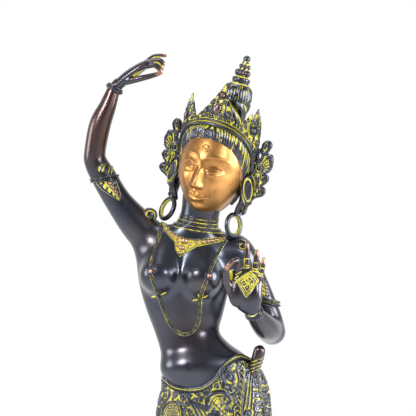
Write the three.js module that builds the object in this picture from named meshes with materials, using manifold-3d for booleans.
// A lady in cast brass, one arm raised over her head and her legs crossed, on a round lotus base.
// Millimetres, +Z up. She faces -Y, and the origin is the middle of the base's underside.
import * as THREE from "three";
import { mergeVertices } from "three/addons/utils/BufferGeometryUtils.js";
import Module from "manifold-3d";

const wasm = await Module();
wasm.setup();

// Driving dimensions
const BASE_HEIGHT = 46;
const PETALS = 12;
const HEAD_MIDDLE = [7, -5, 476];
const HEAD_TILT = 14.5;
const HEAD_TURN = 20;
const HEAD_NOD = 6;
const HEAD_HALF_WIDTH = 27;
const HEAD_HALF_DEPTH = 31;
const HEAD_HALF_HEIGHT = 37.5;
const CROWN_BAND = { halfWidth: 30.5, forward: 21, low: 5, rise: 31 };
const NECK_FOLDS = 3;
const BAND_HEIGHT = 1.7;
const FLUTE_DEPTH = 2.6;

// Rows of x, y, z, half-width, half-depth and roll in degrees, from the neck down to the thighs
const TORSO = [
  [-1.5, -5, 455, 14.2, 13.5, -4],
  [-4.2, -3, 438, 15.4, 14, -6],
  [-6.5, -1, 430, 17.5, 15.5, -9],
  [-8, 1, 424, 27, 17, -12],
  [-11, 2, 416, 37, 19, -13],
  [-14, 1, 406, 39.5, 21, -13],
  [-17, 0, 396, 38.5, 22.5, -12],
  [-17.5, 0, 378, 35.5, 22, -9],
  [-16.5, 0, 362, 31, 20.5, -5],
  [-14.5, -0.5, 346, 26, 18.5, 0],
  [-8.5, -1.5, 334, 27.5, 19.5, 5],
  [-1, -1, 322, 33.5, 24, 8],
  [5.5, 1.5, 308, 38.5, 27, 8],
  [7, 4, 292, 43, 30, 6],
  [6.5, 4, 272, 43.5, 30.5, 3],
  [6.5, 1, 250, 41, 27, 0],
  [7, -3, 215, 31, 20, 0],
  [8, -7, 180, 20, 14, 0],
  [9, -8, 150, 10, 8, 0],
];

// The base from the ground up: height, radius between the petals, radius along their ridges, and petal row
const BASE_RINGS = [
  [0, 58, 58, 0],
  [5, 58, 58, 0],
  [7, 51, 56, 0],
  [14, 46.5, 52.5, 0],
  [20, 42, 46, 0],
  [23, 41, 41, 0],
  [26, 42, 44, 1],
  [32, 44, 50.5, 1],
  [39, 45.5, 53.5, 1],
  [42.5, 46.5, 50, 1],
  [BASE_HEIGHT, 47.5, 47.5, 1],
];

// Limbs: rows of x, y, z and radius, or half-width and half-thickness
const RAISED_ARM = [
  [-42, 3, 418, 15],
  [-55.2, 2, 431.8, 13.4],
  [-69.5, 2, 449.8, 10.8],
  [-80.7, 2, 468.5, 10.2],
  [-87.6, 2, 481, 9.6],
  [-88.2, 1, 490, 8.9],
  [-84, 0, 510.8, 8.7],
  [-77.8, -1, 525.7, 6.9],
  [-73.4, -1, 537.5, 5.4],
  [-69.5, -1, 543.5, 4.6],
];
const RAISED_ARM_BANDS = [{ place: 0.36, reach: 0.016 }, { place: 0.915, reach: 0.016 }];
const RAISED_PALM = [
  [-71, -1, 541, 4.8, 4.3],
  [-62, -1.5, 549, 6.5, 4.6],
  [-53, -2, 555.4, 7.8, 4.2],
  [-46, -2, 559.8, 7.8, 3.2],
];
const RAISED_FINGERS = {
  thumb: [[-62, -5, 545.5, 3.2], [-53, -9, 547, 2.6], [-44.5, -10, 549, 2.2], [-37.5, -9, 551, 1.8]],
  index: [[-47, -7, 557.5, 2.6], [-40, -8.5, 558, 2.3], [-36.2, -9, 554.5, 2], [-35.2, -9, 552, 1.7]],
  middle: [[-46, -3, 559.5, 2.6], [-38, -3.5, 561, 2.3], [-34.5, -4, 558.5, 2], [-34.8, -4.5, 555.3, 1.7]],
  ring: [[-46, 1.5, 560.5, 2.5], [-38, 1.5, 562.5, 2.2], [-34, 1, 560.6, 2], [-34.2, 0.5, 558, 1.6]],
  little: [[-47.5, 5, 560.5, 2.3], [-41.5, 6.5, 565.3, 2], [-36.5, 7, 567, 1.7], [-31.6, 7, 566.6, 1.2]],
};
const BENT_ARM = [
  [13, 3, 409, 15],
  [25, 3.5, 407.5, 14.8],
  [37, 6, 389, 11.2],
  [46, 7, 370, 10.2],
  [52.5, 7, 354, 10.2],
  [54.5, 3, 345, 10.8],
];
const BENT_ARM_BANDS = [{ place: 0.6, reach: 0.03 }];
const BENT_FOREARM = [
  [54.3, 5, 345, 10.8],
  [48.5, -16, 349.5, 9.8],
  [42, -33, 357, 7.8],
  [37.5, -44, 363.5, 6.5],
];
const FOREARM_BANDS = [{ place: 0.93, reach: 0.05 }];
const OPEN_PALM = [
  [37.2, -44, 362, 6.8, 6],
  [33.2, -46.5, 372, 11, 6],
  [31, -47.5, 383, 13.6, 5],
  [32, -48, 394, 13.2, 3.8],
];
const OPEN_FINGERS = {
  thumb: [[22, -47, 377, 4], [17.2, -51, 386, 3.3], [16.4, -55.5, 394, 2.7], [18, -58.5, 399.5, 2]],
  index: [[25.5, -48.5, 396, 2.9], [25.5, -54, 403, 2.6], [21.5, -58.5, 402.5, 2.3], [18.6, -60, 400, 1.9]],
  middle: [[32.6, -48, 394, 2.8], [32.8, -49, 404, 2.5], [32.9, -49.5, 411, 2.3], [32.7, -49.5, 415.8, 1.8]],
  ring: [[38.6, -48, 392, 2.7], [39.7, -48.5, 400, 2.4], [40.3, -49, 406, 2.2], [40.4, -49, 410.2, 1.7]],
  little: [[43.2, -47, 389, 2.4], [44.6, -47.5, 396, 2.1], [45.5, -48, 400.5, 1.9], [46, -48, 404.2, 1.5]],
};

// Hoops: the middle, the turn about the vertical and the lean to the side, in degrees
const HOOP_RADIUS = 8.6;
const HOOP_THICKNESS = 1.9;
const HOOPS = [
  { middle: [22.8, -9, 430.3], turn: 51, lean: 0 },
  { middle: [-30, 6.5, 443.8], turn: -59, lean: 26 },
];

// Legs in their skirt, from the hip to the hem, and the feet below them
const STANDING_LEG = [
  [25, 4, 282, 23],
  [27.5, 3, 255, 24],
  [28, 2, 230, 22],
  [26, 0, 200, 19.5],
  [22, -1, 165, 16.5],
  [15, 3, 125, 15.5],
  [5, 5, 88, 12.5],
  [2, 4, 74, 12],
  [1, 4, 66, 15.5],
];
const CROSSING_LEG = [
  [-11, 4, 282, 22],
  [-13.5, 0, 255, 23.5],
  [-14, -5, 230, 21.5],
  [-11, -12, 200, 19],
  [-4, -19, 165, 16],
  [9, -17, 125, 14.5],
  [21, -13, 88, 12],
  [24.5, -12, 74, 12],
  [25, -12, 66, 15],
];
const STANDING_FOOT = { heel: [2, 9], toe: [-7, -30], halfWidth: 8 };
const CROSSING_FOOT = { heel: [24, -2], toe: [28, -34], halfWidth: 7.5 };
const FRONT_SASH = [
  [27, -24, 326, 4, 2.5],
  [25.5, -29, 300, 5, 3],
  [27, -31, 270, 5, 3],
  [33, -24, 230, 5.5, 3],
  [37, -18, 190, 6, 3],
  [40, -14, 150, 8, 3.2],
  [41, -12, 112, 11, 3.2],
];
const LEFT_SASH = [
  [40, -12, 316, 3, 2.5],
  [46, -16, 296, 3, 2.5],
  [49, -12, 270, 3, 2.5],
  [48, -6, 230, 4, 3],
  [44, 0, 190, 5, 3],
  [44, 2, 150, 7, 3],
  [46, 3, 104, 10, 3],
];
const RIGHT_SASH = [
  [-32, -8, 288, 3, 2.5],
  [-37, -8, 268, 4, 3],
  [-37, -8, 240, 5, 3],
  [-33, -8, 200, 6, 3],
  [-31, -6, 160, 8, 3],
  [-33, -5, 118, 11, 3.2],
];
const SASH_KNOT = [
  [37.5, -12, 312, 3.6],
  [40.5, -13, 319, 4.2],
  [42, -13.5, 325, 4.4],
  [43.2, -14, 331, 4.8],
];
const PLEATS = [
  [2, -29, 262, 5],
  [3, -30, 220, 8],
  [4, -31, 180, 9],
  [10, -31, 140, 9.5],
  [14, -27, 100, 12],
  [14, -25, 68, 16],
];

// Rows of x, z for the belt, whose depth comes from the body it lies on
const BELT_FRONT = [
  [-33, 309],
  [-25, 303.5],
  [-14, 301.5],
  [-2, 303],
  [8, 310.5],
  [15, 321],
  [26, 327],
  [34, 325],
];
const BELT_BACK = [[40, 316], [30, 322], [10, 324], [-10, 318], [-25, 311]];

// Swellings of the face: place across and up it, spread each way and height
const FACE_SWELLS = [
  [3.8, -13.5, 1.9, 2, 2],
  [11.5, 1.5, 7, 4.5, -2.4],
  [11.5, -0.5, 4.8, 2.6, 2],
  [11.5, 7.5, 8, 2, 0.9],
  [0, -21, 6.5, 1.5, 2.6],
  [0, -24.5, 5, 1.8, 2.8],
  [0, -33, 7, 5, 4.5],
  [15, -11, 8, 8, 1.6],
];

// Outlines in the head's frame: the fan behind an ear, and the knot of hair from its foot to its tip
const FAN_RIM = [
  [27, -24],
  [30.5, -30.5],
  [35, -26],
  [39, -16],
  [44.5, -9],
  [44.5, 3],
  [45, 12],
  [43.5, 21],
  [40, 30],
  [27, 29],
];
const KNOT_PROFILE = [
  [0, 0],
  [9, 0],
  [10, 8],
  [11.6, 17],
  [12.4, 27],
  [10.8, 35],
  [6.8, 39.5],
  [7.4, 42],
  [5.4, 44.5],
  [6.6, 49],
  [3.8, 55],
  [3.6, 59],
  [0, 62.2],
];
const EAR = [
  [30.5, 1.6, 3.5, 3, 2.2],
  [32.4, 2.4, -4, 6.6, 2.4],
  [31.4, 2.4, -13, 6, 2.4],
  [29, 1.6, -22, 3, 2.4],
  [26.5, 1, -31, 2, 2.4],
];
// Which way an ear is broad: outwards and back
const EAR_BREADTH = [0.72, 0.69];

const SKIN_SIDES = 16;
const LIMB_SIDES = 10;
const FINGER_SIDES = 5;
const CORD_SIDES = 3;
const V = (x, y, z) => new THREE.Vector3(x, y, z);
const radians = THREE.MathUtils.degToRad;
const { smoothstep } = THREE.MathUtils;
const BACK = V(0, 1, 0);
const UP = V(0, 0, 1);

/** Catmull-Rom values through rows of numbers, for a place from 0 to 1 along them. */
function spline(rows) {
  const row = (n) => rows[THREE.MathUtils.clamp(n, 0, rows.length - 1)];
  return (place) => {
    const at = place * (rows.length - 1);
    const i = Math.min(Math.floor(at), rows.length - 2);
    const k = at - i;
    return rows[0].map((_, c) => {
      const [a, b, d, e] = [row(i - 1)[c], row(i)[c], row(i + 1)[c], row(i + 2)[c]];
      return b + 0.5 * k * (d - a + k * (2 * a - 5 * b + 4 * d - e + k * (3 * (b - d) + e - a)));
    });
  };
}

/** A closed skin over rings of points, each end fanned to its middle and every face turned outwards. */
function skin(rings) {
  const sides = rings[0].length;
  const middle = (ring) => ring.reduce((sum, p) => sum.add(p), V(0, 0, 0)).divideScalar(sides);
  const points = [...rings.flat(), middle(rings[0]), middle(rings.at(-1))];
  const index = [];
  for (let s = 0; s < sides; s += 1) {
    const next = (s + 1) % sides;
    const last = (rings.length - 1) * sides;
    for (let r = 0; r < last; r += sides) {
      const [a, b, c, d] = [r + s, r + next, r + sides + next, r + sides + s];
      index.push(a, b, c, a, c, d);
    }
    index.push(points.length - 2, next, s, points.length - 1, last + s, last + next);
  }
  let volume = 0;
  for (let i = 0; i < index.length; i += 3) {
    const [a, b, c] = [points[index[i]], points[index[i + 1]], points[index[i + 2]]];
    volume += a.dot(b.clone().cross(c));
  }
  if (volume < 0) index.reverse();
  return new THREE.BufferGeometry().setFromPoints(points).setIndex(index);
}

/** An oval ring of points round a centre, square to the way along, its width nearest to `across`. */
function oval(centre, along, across, wide, thick, sides) {
  const depth = along.clone().cross(across).normalize();
  const width = depth.clone().cross(along).normalize();
  return Array.from({ length: sides }, (_, s) => {
    const angle = (2 * Math.PI * s) / sides;
    const sideways = centre.clone().addScaledVector(width, wide * Math.cos(angle));
    return sideways.addScaledVector(depth, thick * Math.sin(angle));
  });
}

/**
 * A limb, finger, cord or ribbon with a rounded end, along rows of x, y, z, half-width and half-thickness.
 * A band is a moulded ring that stands out all round it, at a place from 0 to 1 with a reach each way.
 */
function limb(rows, { sides = LIMB_SIDES, steps = 8, across = BACK, bands = [] } = {}) {
  const at = spline(rows);
  const nudge = 0.01;
  const ring = ({ place, swell = 0, shift = 0, scale = 1 }) => {
    const [x, y, z, wide, thick = wide] = at(place);
    const ahead = V(...at(Math.min(1, place + nudge)));
    const along = ahead.sub(V(...at(Math.max(0, place - nudge)))).normalize();
    const centre = V(x, y, z).addScaledVector(along, shift * thick);
    return oval(centre, along, across, wide * scale + swell, thick * scale + swell, sides);
  };
  const even = Array.from({ length: steps + 1 }, (_, n) => ({ place: n / steps }));
  const clear = even.filter(({ place }) => bands.every((band) => Math.abs(place - band.place) > band.reach));
  const moulded = bands.flatMap(({ place, reach }) => [
    { place: place - reach },
    { place, swell: BAND_HEIGHT },
    { place: place + reach },
  ]);
  const places = [...clear, ...moulded].sort((a, b) => a.place - b.place);
  return skin([...places, { place: 1, shift: 0.75, scale: 0.6 }].map(ring));
}

/** A three.js geometry as a solid that can be joined and cut. */
function solid(geometry) {
  const bare = geometry.clone();
  bare.deleteAttribute("normal");
  bare.deleteAttribute("uv");
  const merged = mergeVertices(bare, 1e-4);
  const vertProperties = new Float32Array(merged.attributes.position.array);
  const triVerts = new Uint32Array(merged.index.array);
  return new wasm.Manifold(new wasm.Mesh({ numProp: 3, vertProperties, triVerts }));
}

/** Several geometries joined into one solid. */
function joined(geometries) {
  return geometries.map(solid).reduce((whole, piece) => whole.add(piece));
}

/** A solid as a three.js geometry. */
function geometryOf(body) {
  const mesh = body.getMesh();
  const geometry = new THREE.BufferGeometry();
  geometry.setAttribute("position", new THREE.BufferAttribute(mesh.vertProperties, 3));
  geometry.setIndex(new THREE.BufferAttribute(mesh.triVerts, 1));
  return geometry;
}

/** A ball with its own half-sizes along X, Y and Z. */
function ball(x, y, z, halfX, halfY, halfZ, across, down) {
  const sphere = new THREE.SphereGeometry(1, across, down).rotateX(Math.PI / 2);
  return sphere.scale(halfX, halfY, halfZ).translate(x, y, z);
}

/** The head's frame: x to the viewer's right, -y out of the face, z towards the crown. */
function headFrame() {
  const turn = new THREE.Matrix4().makeRotationZ(-radians(HEAD_TURN));
  const nod = new THREE.Matrix4().makeRotationX(radians(HEAD_NOD));
  const tilt = new THREE.Matrix4().makeRotationY(radians(HEAD_TILT));
  const place = new THREE.Matrix4().makeTranslation(...HEAD_MIDDLE);
  return place.multiply(tilt).multiply(turn).multiply(nod);
}

/** The neck with its folds, ribcage, waist and hips, as one skin whose rings roll as the spine bends. */
function torso() {
  const at = spline(TORSO);
  const ring = (place, swell = 0) => {
    const [x, y, z, wide, deep, roll] = at(place);
    const along = V(-Math.sin(radians(roll)), 0, Math.cos(radians(roll)));
    return oval(V(x, y, z), along, V(1, 0, 0), wide + swell, deep + swell, SKIN_SIDES);
  };
  const folds = 2 * NECK_FOLDS;
  const neck = Array.from({ length: folds + 1 }, (_, n) => ring((0.126 * n) / folds, n % 2 ? 1.6 : 0));
  const collar = [ring(0.144, 0.6), ring(0.155, 2.8), ring(0.176, 1.6)];
  const trunk = Array.from({ length: 15 }, (_, n) => ring(0.207 + (0.793 * n) / 14));
  return skin([...neck, ...collar, ...trunk]);
}

/** The breasts, which swell out of the ribcage. */
function breasts() {
  return [ball(-36.5, -17, 391, 15.5, 16, 15, 10, 8), ball(-2.5, -18, 389, 15.5, 16, 15, 10, 8)];
}

/** A hand: its palm along its rows, and a short limb for each finger. */
function hand(palm, fingers, across) {
  const slanted = BACK.clone().add(UP);
  const digit = (rows) => limb(rows, { sides: FINGER_SIDES, steps: 3, across: slanted });
  const digits = Object.values(fingers).map(digit);
  return [limb(palm, { sides: 8, steps: 3, across }), ...digits];
}

/** A bare foot: high under the hem, flat and broad at the toes. */
function foot({ heel, toe, halfWidth }) {
  const [from, to] = [V(...heel, 0), V(...toe, 0)];
  const across = to.clone().sub(from).cross(UP);
  const stations = [[0, 0.75, 7], [0.35, 0.75, 8.5], [0.7, 0.95, 5], [1, 0.95, 2.6]];
  const rows = stations.map(([place, width, thick]) => {
    const middle = from.clone().lerp(to, place);
    return [middle.x, middle.y, BASE_HEIGHT + thick * 0.7, halfWidth * width, thick];
  });
  return [limb(rows, { sides: 8, steps: 3, across })];
}

/** How far the face stands forward of the egg-shaped head at a place across and up it: a calm, even face. */
function faceRelief(x, z) {
  const side = Math.abs(x);
  const bridge = smoothstep(z, -17, -13) * (1 - smoothstep(z, -13, 8));
  const nose = (2 + 6 * bridge) * bridge ** 0.3 * Math.exp(-((side / (2.6 + 1.6 * bridge)) ** 2));
  return FACE_SWELLS.reduce((sum, [atX, atZ, spreadX, spreadZ, height]) => {
    const away = ((side - atX) / spreadX) ** 2 + ((z - atZ) / spreadZ) ** 2;
    return sum + height * Math.exp(-away);
  }, nose);
}

/** The head: an egg narrowed to the jaw, with the face's relief on its front and the hair lifted round it. */
function head() {
  const [across, down] = [22, 20];
  const rings = [];
  for (let d = 1; d < down; d += 1) {
    const latitude = Math.PI * (0.5 - d / down);
    const z = HEAD_HALF_HEIGHT * Math.sin(latitude);
    const girth = Math.cos(latitude) ** 0.8;
    const jaw = 1 - 0.2 * smoothstep(-z, 4, HEAD_HALF_HEIGHT);
    rings.push(Array.from({ length: across }, (_, s) => {
      const even = (2 * Math.PI * s) / across;
      const longitude = even - 0.5 * Math.sin(even);
      const x = HEAD_HALF_WIDTH * girth * jaw * Math.sin(longitude);
      const front = Math.cos(longitude);
      const relief = smoothstep(front, 0.25, 0.6) * smoothstep(girth, 0.25, 0.5);
      const lift = 1 + 0.07 * Math.max(1 - smoothstep(front, 0.05, 0.3), smoothstep(z, 24, 29));
      return V(x * lift, -HEAD_HALF_DEPTH * girth * front * lift - faceRelief(x, z) * relief, z * lift);
    }));
  }
  return skin(rings);
}

/** The height of the crown's band at an angle from the middle of the forehead. */
function bandHeight(angle) {
  return CROWN_BAND.low + CROWN_BAND.rise * Math.max(0, Math.cos(angle)) ** 0.6;
}

/** A place on the crown at an angle from the middle of the forehead, at a height, and `out` from its wall. */
function crownPoint(angle, height, out = 0) {
  const { halfWidth, forward } = CROWN_BAND;
  const [s, c] = [Math.sin(angle), Math.cos(angle)];
  const up = height - bandHeight(angle);
  return V((halfWidth + 0.05 * up + out) * s, 0.27 * up * c - (forward + out) * c, height);
}

/** The height of the crown's top: a tall leaf over the forehead and one over each temple. */
function crownTop(angle) {
  const degrees = Math.abs(THREE.MathUtils.radToDeg(angle));
  const frontOff = Math.min(1, degrees / 28);
  const sideOff = Math.min(1, Math.abs(degrees - 62) / 30);
  const front = 43 + 26 * (1 - frontOff) ** 1.3;
  const side = sideOff < 1 ? 33 + 18 * (1 - sideOff ** 2) + 4 * Math.max(0, 1 - 4 * sideOff) : 0;
  return Math.max(bandHeight(angle) + 7, frontOff < 1 ? front : 0, side);
}

/** The crown: a wall over a rope band, its top run up into leaves, and a jewel on each of the three. */
function crown() {
  const reach = radians(90);
  const columns = 32;
  const wall = Array.from({ length: columns + 1 }, (_, n) => {
    const angle = reach * ((2 * n) / columns - 1);
    const [band, high] = [bandHeight(angle), crownTop(angle)];
    const profile = [[band - 2, 0.6], [band, 3], [band + 2, 1], [high, 1.6], [high, -0.4], [band - 2, -9]];
    return profile.map(([height, out]) => crownPoint(angle, height, out));
  });
  const jewels = [[0, 49], [62, 37], [-62, 37]].map(([at, height]) => {
    const place = crownPoint(radians(at), height, 2.4);
    return ball(...place.toArray(), 3.4, 3.4, 4.2, 6, 4);
  });
  return [skin(wall), ...jewels];
}

/** The fan of scrolls and ribbon that stands out behind one ear. */
function earFan(side) {
  const rim = spline(FAN_RIM);
  const scallops = 4;
  const steps = 4 * scallops;
  const outline = Array.from({ length: steps + 1 }, (_, n) => {
    const [x, z] = rim(n / steps);
    const bite = 1 - 0.045 * Math.abs(Math.cos((n * Math.PI) / 4));
    return new THREE.Vector2(x * bite, z * bite);
  });
  const plate = new THREE.ExtrudeGeometry(new THREE.Shape(outline), { depth: 3, bevelEnabled: false });
  plate.rotateX(Math.PI / 2).translate(0, 4, 0);
  const rosette = ball(36.5, 0.6, 8, 4.6, 2.6, 4.6, 6, 5);
  return [plate, rosette].map((geometry) => (side > 0 ? geometry : flipped(geometry)));
}

/** A geometry mirrored from one side of the head to the other, its faces still pointing outwards. */
function flipped(geometry) {
  const mirrored = (geometry.index ? geometry.toNonIndexed() : geometry.clone()).scale(-1, 1, 1);
  const place = mirrored.attributes.position;
  for (let i = 0; i < place.count; i += 3) {
    const [a, b] = [i + 1, i + 2].map((n) => [place.getX(n), place.getY(n), place.getZ(n)]);
    place.setXYZ(i + 1, ...b);
    place.setXYZ(i + 2, ...a);
  }
  return mirrored;
}

/** The tall knot of hair, bound below its jewelled tip. */
function topKnot() {
  const profile = KNOT_PROFILE.map(([radius, height]) => new THREE.Vector2(radius, height));
  const upright = new THREE.LatheGeometry(profile, 10).rotateX(Math.PI / 2);
  return upright.rotateX(-radians(3)).rotateY(radians(2)).translate(0.5, 10.5, 31);
}

/** One long ear with its heavy lobe. */
function ear(side) {
  const [out, back] = EAR_BREADTH;
  const rows = EAR.map(([x, ...rest]) => [side * x, ...rest]);
  return limb(rows, { sides: 5, steps: 4, across: V(side * out, back, 0) });
}

/** A hoop that hangs from an ear lobe and rests on the shoulder, turned and leaning by its own angles. */
function hoop({ middle, turn, lean }) {
  return new THREE.TorusGeometry(HOOP_RADIUS, HOOP_THICKNESS, 5, 12)
    .rotateX(Math.PI / 2)
    .rotateZ(radians(turn))
    .rotateY(radians(lean))
    .translate(...middle);
}

/** A function that gives the body's depth where a line from the front, or from behind, first meets it. */
function depthOf(bodies) {
  const material = new THREE.MeshBasicMaterial({ side: THREE.DoubleSide });
  const meshes = bodies.map((geometry) => new THREE.Mesh(geometry, material));
  return (x, z, from = -1) => {
    const ray = new THREE.Raycaster(V(x, 200 * from, z), V(0, -from, 0));
    const [hit] = ray.intersectObjects(meshes);
    return hit ? hit.point.y : 0;
  };
}

/** What is laid on the body: a pendant, two medallions, an armlet's leaf and curls of hair. */
function laidJewels(depth) {
  const laid = (rows, across) => {
    const placed = rows.map(([x, z, wide]) => [x, depth(x, z), z, wide, 1.8]);
    return limb(placed, { sides: 5, steps: 2, across });
  };
  const knobs = [[-42, 392, 3.4], [2.5, 391, 3.4], [-45.5, 437.5, 5.2], [29.5, 414.5, 5.2]];
  return [
    laid([[-15, 419, 7], [-16.5, 412, 5], [-18, 405.5, 2]], V(1, 0, 0)),
    laid([[-78, 466, 6], [-73, 458, 4.6], [-68.5, 451.5, 1.4]], V(1, 0, 1)),
    ...knobs.map(([x, z, radius]) => ball(x, depth(x, z) + 1, z, radius, radius * 0.9, radius, 6, 5)),
  ];
}

/** The belt: a cord under the belly that climbs to the right-hand hip and runs level behind. */
function belt(depth) {
  const laid = (rows, from) => rows.map(([x, z]) => [x, depth(x, z, from) - 0.4 * from, z, 1.9]);
  const rows = [...laid(BELT_FRONT, -1), ...laid(BELT_BACK, 1)];
  return limb([...rows, rows[0]], { sides: CORD_SIDES, steps: 18, across: UP });
}

/** The pleats that fall between the legs, as a fluted panel that widens to its hem. */
function pleats() {
  const at = spline(PLEATS);
  const flutes = 4;
  const count = 2 * flutes + 1;
  const rings = Array.from({ length: 8 }, (_, n) => {
    const [x, y, z, wide] = at(n / 7);
    const front = Array.from({ length: count }, (_, k) => {
      const side = (2 * k) / (count - 1) - 1;
      return V(x + wide * side, y - (k % 2) * FLUTE_DEPTH, z);
    });
    return [...front, V(x + wide * 0.8, y + 18, z), V(x - wide * 0.8, y + 18, z)];
  });
  return skin(rings);
}

/** Legs in a clinging skirt, its hems, the pleats and the sash ends that hang at both hips. */
function skirt() {
  const legs = [STANDING_LEG, CROSSING_LEG].map((rows) => limb(rows, { sides: 12, steps: 7 }));
  const sash = (rows) => limb(rows, { sides: 5, steps: 6, across: V(1, 0, 0) });
  const sashes = [FRONT_SASH, LEFT_SASH, RIGHT_SASH].map(sash);
  return [...legs, pleats(), ...sashes, limb(SASH_KNOT, { sides: 6, steps: 3 })];
}

/** The head with its hair, crown, ears and the fans behind them, set in its place on the neck. */
function wholeHead() {
  const pieces = [head(), topKnot(), ...crown(), ear(1), ear(-1), ...earFan(1), ...earFan(-1)];
  return pieces.map((geometry) => geometry.applyMatrix4(headFrame()));
}

/** The whole lady, cast in one and cut flat under her soles. */
function figure() {
  const raisedArm = limb(RAISED_ARM, { steps: 10, bands: RAISED_ARM_BANDS });
  const bentArm = limb(BENT_ARM, { steps: 5, bands: BENT_ARM_BANDS });
  const body = [torso(), ...breasts(), raisedArm, bentArm];
  const depth = depthOf(body);
  const limbs = [
    limb(BENT_FOREARM, { steps: 3, across: UP, bands: FOREARM_BANDS }),
    ...hand(RAISED_PALM, RAISED_FINGERS, BACK),
    ...hand(OPEN_PALM, OPEN_FINGERS, V(1, 0, -0.15)),
    ...foot(STANDING_FOOT),
    ...foot(CROSSING_FOOT),
  ];
  const jewels = [...HOOPS.map(hoop), ...laidJewels(depth), belt(depth)];
  const lady = joined([...body, ...limbs, ...wholeHead(), ...jewels, ...skirt()]);
  const ground = new THREE.BoxGeometry(400, 400, 100).translate(0, 0, BASE_HEIGHT - 50);
  return geometryOf(lady.subtract(solid(ground)));
}

/** The lotus base: a waisted drum whose radius swells into a row of petals turned down and one turned up. */
function lotusBase() {
  const ridge = [0, 0.75, 1, 0.75];
  const columns = PETALS * ridge.length;
  const ring = ([height, valley, crest, row]) => Array.from({ length: columns }, (_, s) => {
    const angle = (2 * Math.PI * s) / columns;
    const radius = valley + (crest - valley) * ridge[(s + 2 * row) % ridge.length];
    return V(radius * Math.sin(angle), -radius * Math.cos(angle), height);
  });
  return skin(BASE_RINGS.map(ring));
}

/** A named mesh in dark, polished brass. */
function brassMesh(name, geometry) {
  const material = new THREE.MeshStandardMaterial({ color: 0x26242a, roughness: 0.35, metalness: 0.9 });
  const mesh = new THREE.Mesh(geometry, material);
  mesh.name = name;
  return mesh;
}

const statue = new THREE.Group();
statue.add(brassMesh("figure", figure()), brassMesh("lotus_base", lotusBase()));
export default statue;
